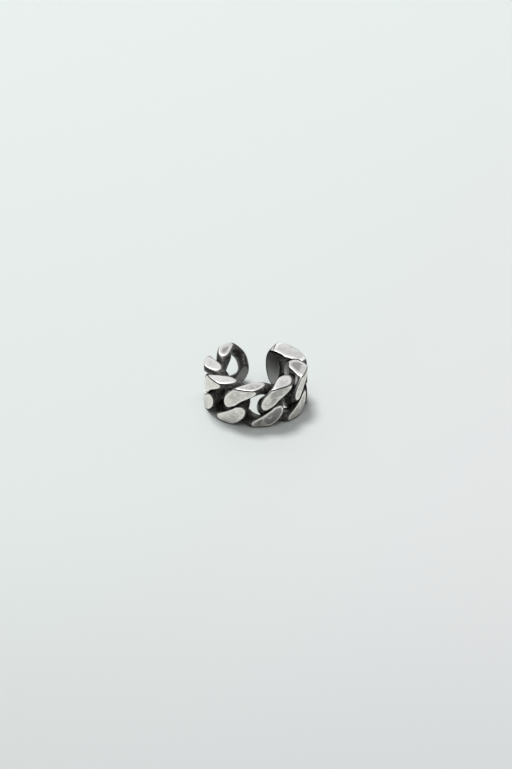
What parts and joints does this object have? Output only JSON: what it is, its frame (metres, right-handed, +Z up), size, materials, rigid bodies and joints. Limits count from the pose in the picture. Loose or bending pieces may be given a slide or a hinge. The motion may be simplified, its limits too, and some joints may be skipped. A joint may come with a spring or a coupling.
{
  "type": "ear cuff earring",
  "caption": "Open ring-shaped ear cuff made of chunky interlocked curb chain links in blackened silver with bright ground flats.",
  "frame": {"origin": "on the ring's axis, in the plane of its lower ground side, on which it lies", "axes": "+Z up along the ring's axis, +Y out through the ring's opening, +X towards the blocky end link"},
  "size_m": [0.014, 0.0137, 0.0058],
  "materials": {
    "oxidised_silver": "blackened wire with brushed bright flats"
  },
  "bodies": {
    "root": {"end_link_left": "oxidised_silver", "link_2": "oxidised_silver", "link_3": "oxidised_silver", "link_4": "oxidised_silver", "link_5": "oxidised_silver", "link_6": "oxidised_silver", "end_link_right": "oxidised_silver"}
  },
  "joints": []
}
